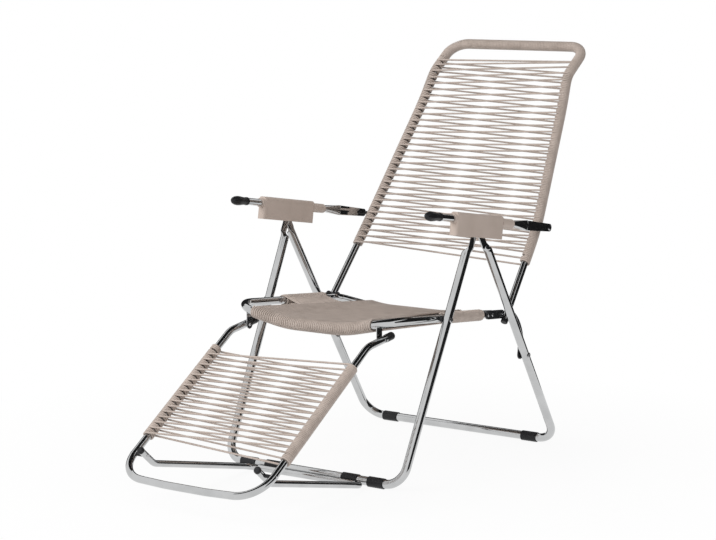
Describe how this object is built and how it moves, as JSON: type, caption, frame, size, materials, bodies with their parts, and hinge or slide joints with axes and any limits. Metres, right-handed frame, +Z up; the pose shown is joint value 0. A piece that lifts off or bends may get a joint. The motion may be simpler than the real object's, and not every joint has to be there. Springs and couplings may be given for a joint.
{
  "type": "folding deck chair",
  "caption": "Folding tubular deck chair with cord-strung back and seat, notched arm rests, and a hinged, strung leg rest on its own folding stand.",
  "frame": {"origin": "under the middle of the chair on the floor", "axes": "+Z up, the sitter faces -Y, +X is the sitter's left"},
  "size_m": [0.629, 1.4538, 1.035],
  "materials": {
    "chrome_tube": "polished chrome plate",
    "cord": "satin vinyl cord",
    "black_plastic": "satin moulded",
    "arm_plastic": "fine moulded texture",
    "dark_steel": "black coated steel",
    "rivet_steel": "zinc plated"
  },
  "bodies": {
    "rear_legs": {"rear_leg_frame": "chrome_tube", "rear_foot_sleeves": "black_plastic", "apex_pins": "rivet_steel", "stay_pins": "rivet_steel", "stay_washers": "black_plastic"},
    "front_legs": {"front_leg_frame": "chrome_tube", "front_foot_sleeves": "black_plastic", "stand_rest_pads": "black_plastic", "seat_pivot_pins": "rivet_steel", "seat_pivot_spacers": "black_plastic"},
    "seat": {"seat_frame": "chrome_tube", "seat_hinge_plates": "dark_steel", "plate_rivets": "rivet_steel", "back_pivot_pins": "rivet_steel", "seat_side_wraps": "cord", "seat_front_wrap": "cord", "seat_rear_wrap": "cord", "seat_strings": "cord", "leg_rest_brackets": "dark_steel", "bracket_screws": "rivet_steel"},
    "back": {"back_frame": "chrome_tube", "back_end_plugs": "black_plastic", "back_wrap": "cord", "back_strings": "cord", "arm_spacers": "black_plastic", "arm_rivets": "rivet_steel"},
    "stays": {"rear_stays": "dark_steel", "stay_top_heads": "rivet_steel"},
    "leg_rest": {"leg_rest_frame": "chrome_tube", "leg_rest_plugs": "black_plastic", "leg_rest_wraps": "cord", "leg_rest_strings": "cord", "stand_spacers": "black_plastic", "stand_rivets": "rivet_steel"},
    "stand": {"stand_frame": "chrome_tube", "stand_end_caps": "black_plastic"},
    "arm_left": {"arm_tube_left": "chrome_tube", "arm_plug_left": "black_plastic", "arm_housing_left": "arm_plastic", "arm_rack_left": "dark_steel", "arm_rivet_head_left": "rivet_steel"},
    "arm_right": {"arm_tube_right": "chrome_tube", "arm_plug_right": "black_plastic", "arm_housing_right": "arm_plastic", "arm_rack_right": "dark_steel", "arm_rivet_head_right": "rivet_steel"}
  },
  "joints": [
    {"name": "leg_fold", "type": "hinge", "parent": "rear_legs", "child": "front_legs", "pos_m": [0, 0.04991, 0.603], "axis": [1, 0, 0], "range_deg": [0, 58]},
    {"name": "seat_fold", "type": "hinge", "parent": "front_legs", "child": "seat", "pos_m": [0, -0.05109, 0.393], "axis": [1, 0, 0], "range_deg": [-98, 0]},
    {"name": "stay_fold", "type": "hinge", "parent": "rear_legs", "child": "stays", "pos_m": [0, 0.2682, 0.262], "axis": [1, 0, 0], "range_deg": [-137, 0]},
    {"name": "back_fold", "type": "hinge", "parent": "seat", "child": "back", "pos_m": [0, 0.22391, 0.369], "axis": [1, 0, 0], "range_deg": [0, 79.5]},
    {"name": "arm_left_fold", "type": "hinge", "parent": "rear_legs", "child": "arm_left", "pos_m": [0, 0.04991, 0.603], "axis": [1, 0, 0], "range_deg": [-17.5, 0]},
    {"name": "arm_right_fold", "type": "hinge", "parent": "rear_legs", "child": "arm_right", "pos_m": [0, 0.04991, 0.603], "axis": [1, 0, 0], "range_deg": [-17.5, 0]},
    {"name": "leg_rest_swing", "type": "hinge", "parent": "seat", "child": "leg_rest", "pos_m": [0, -0.22909, 0.36], "axis": [1, 0, 0], "range_deg": [-66, 0]},
    {"name": "stand_swing", "type": "hinge", "parent": "leg_rest", "child": "stand", "pos_m": [0, -0.65409, 0.109], "axis": [1, 0, 0], "range_deg": [0, 36]}
  ],
  "couplings": [
    {"joint": "seat_fold", "follows": "leg_fold", "ratio": -1.675},
    {"joint": "stay_fold", "follows": "leg_fold", "ratio": -2.347},
    {"joint": "back_fold", "follows": "leg_fold", "ratio": 1.355},
    {"joint": "arm_left_fold", "follows": "leg_fold", "ratio": -0.291},
    {"joint": "arm_right_fold", "follows": "leg_fold", "ratio": -0.291}
  ]
}
